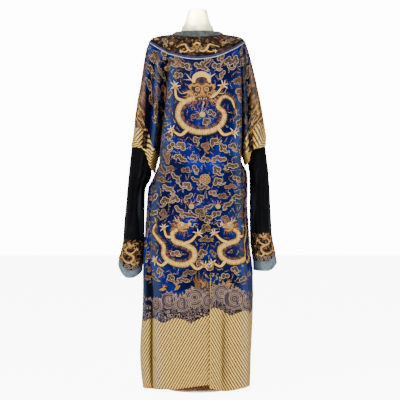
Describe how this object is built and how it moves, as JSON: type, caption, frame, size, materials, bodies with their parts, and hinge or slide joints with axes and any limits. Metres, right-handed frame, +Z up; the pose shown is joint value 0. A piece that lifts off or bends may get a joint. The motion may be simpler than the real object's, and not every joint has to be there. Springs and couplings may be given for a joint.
{
  "type": "chinese dragon robe on a limbless dress form with stand",
  "caption": "Long silk court robe with round collar, wide upper sleeves, plain lower sleeves and flared cuffs, worn open-hemmed on a limbless dress form with pole and round base.",
  "frame": {"origin": "on the floor, under the middle of the robe's width and depth", "axes": "+Z up; -Y is the robe's back, the side that the picture shows; +X is the wearer's right, where the front overlap closes"},
  "size_m": [0.62, 0.302, 1.463],
  "materials": {
    "blue_silk": "blue satin silk with gold couched embroidery",
    "black_silk": "black ribbed silk",
    "embroidered_black": "black silk densely covered with gold embroidery",
    "navy_edging": "navy satin ribbon",
    "pale_piping": "pale silk cord piping",
    "grey_edging": "faded grey-blue silk, frayed in places",
    "brass": "worn gilt brass",
    "cream_linen": "cream linen stretched over a moulded form",
    "stand_metal": "off-white painted steel"
  },
  "bodies": {
    "root": {"panel_left": "blue_silk", "panel_right": "blue_silk", "overlap_front": "blue_silk", "collar": "embroidered_black", "collar_edging": "navy_edging", "collar_piping": "pale_piping", "neck_band": "grey_edging", "lower_sleeve_left": "black_silk", "lower_sleeve_right": "black_silk", "cuff_left": "embroidered_black", "cuff_right": "embroidered_black", "cuff_edging_left": "grey_edging", "cuff_edging_right": "grey_edging", "button_1": "brass", "button_2": "brass", "button_3": "brass", "button_4": "brass", "button_5": "brass", "loop_1": "navy_edging", "loop_2": "navy_edging", "loop_3": "navy_edging", "loop_4": "navy_edging", "loop_5": "navy_edging", "form_torso": "cream_linen", "form_neck": "cream_linen", "stand_pole": "stand_metal", "stand_base": "stand_metal"}
  },
  "joints": []
}
